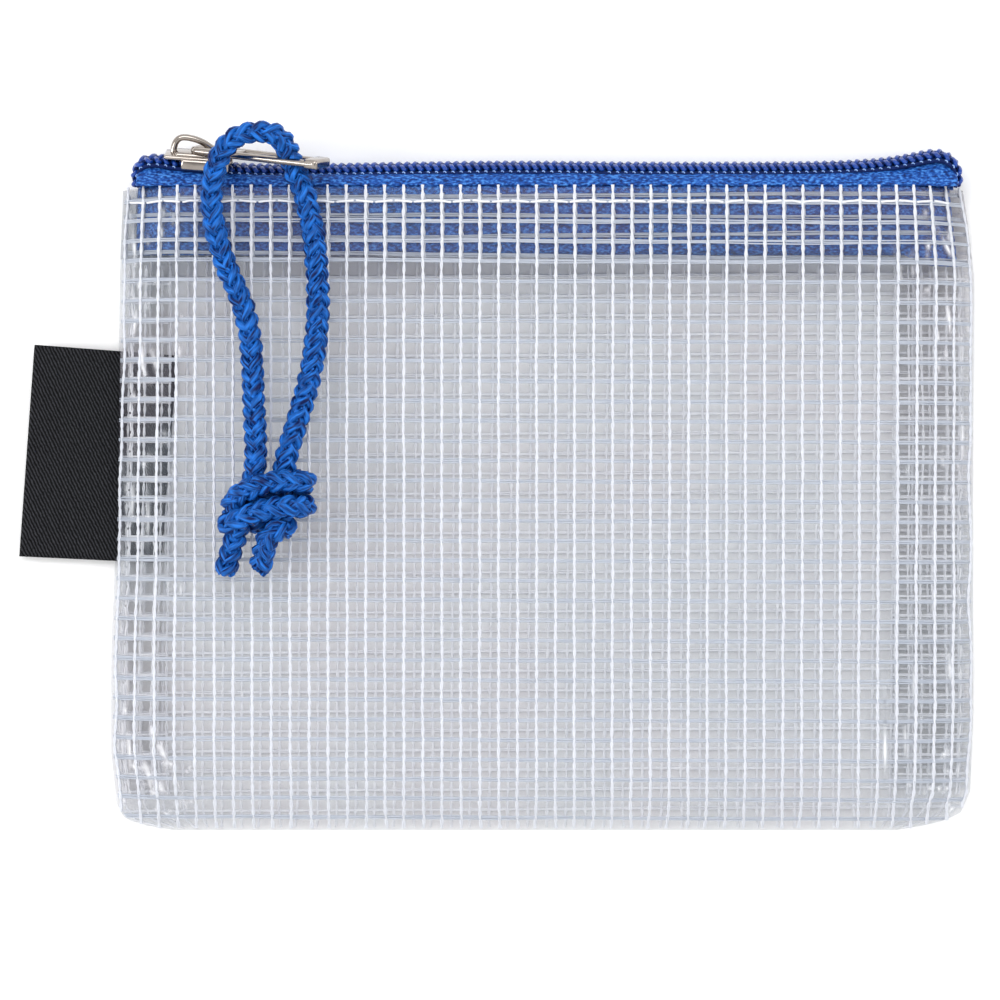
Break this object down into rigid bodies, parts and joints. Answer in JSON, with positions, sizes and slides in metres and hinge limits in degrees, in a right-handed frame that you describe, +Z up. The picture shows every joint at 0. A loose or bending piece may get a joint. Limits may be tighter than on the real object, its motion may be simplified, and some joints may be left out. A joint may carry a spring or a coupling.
{
  "type": "cash deposit bag",
  "caption": "Small clear mesh zip pouch for cash deposits, with a blue coil zip, nickel slider, blue cord pull and black ribbon side tab.",
  "frame": {"origin": "middle of the pouch's back face, which lies on the table", "axes": "+X along the zip from the slider's closed end, +Y from the bottom fold to the zip, +Z up out of the front wall"},
  "size_m": [0.143, 0.1073, 0.0174],
  "materials": {
    "laminate": "clear PVC film with a woven scrim laminated inside",
    "zip_tape": "woven polyester zip tape, royal blue",
    "zip_coil": "nylon monofilament coil, royal blue",
    "core_cord": "twisted polyester filler cord, royal blue",
    "slider_metal": "nickel plated zinc casting",
    "cord": "braided polypropylene cord, blue",
    "ribbon": "woven twill ribbon, black",
    "thread": "white polyester sewing thread"
  },
  "bodies": {
    "pouch": {"pouch_sheet": "laminate", "left_seam_flap": "laminate", "right_seam_flap": "laminate", "left_seam_thread": "thread", "right_seam_thread": "thread", "front_topstitch": "thread", "back_topstitch": "thread", "front_tape": "zip_tape", "back_tape": "zip_tape", "front_end_coils": "zip_coil", "front_end_cores": "core_cord", "back_coil": "zip_coil", "back_coil_core": "core_cord", "ribbon_root": "ribbon"},
    "front_lip": {"front_lip_tape": "zip_tape", "front_coil": "zip_coil", "front_coil_core": "core_cord"},
    "slider": {"slider_body": "slider_metal"},
    "pull": {"pull_tab": "slider_metal", "cord_loop": "cord", "cord_knot": "cord", "cord_tail_left": "cord", "cord_tail_right": "cord"},
    "side_tab": {"ribbon_tab": "ribbon"}
  },
  "joints": [
    {"name": "zip_slide", "type": "slide", "parent": "pouch", "child": "slider", "axis": [1, 0, 0], "range_m": [0, 0.103]},
    {"name": "pull_flip", "type": "hinge", "parent": "slider", "child": "pull", "pos_m": [-0.052, 0.05407, 0.00578], "axis": [-0.3827, -0.2391, 0.8924], "range_deg": [0, 150]},
    {"name": "front_lip_open", "type": "hinge", "parent": "pouch", "child": "front_lip", "pos_m": [0, 0.0488, 0.00856], "axis": [1, 0, 0], "range_deg": [0, 90]},
    {"name": "side_tab_bend", "type": "hinge", "parent": "pouch", "child": "side_tab", "pos_m": [-0.065, 0.0082, 0.0004], "axis": [0, 1, 0], "range_deg": [-90, 95]}
  ]
}
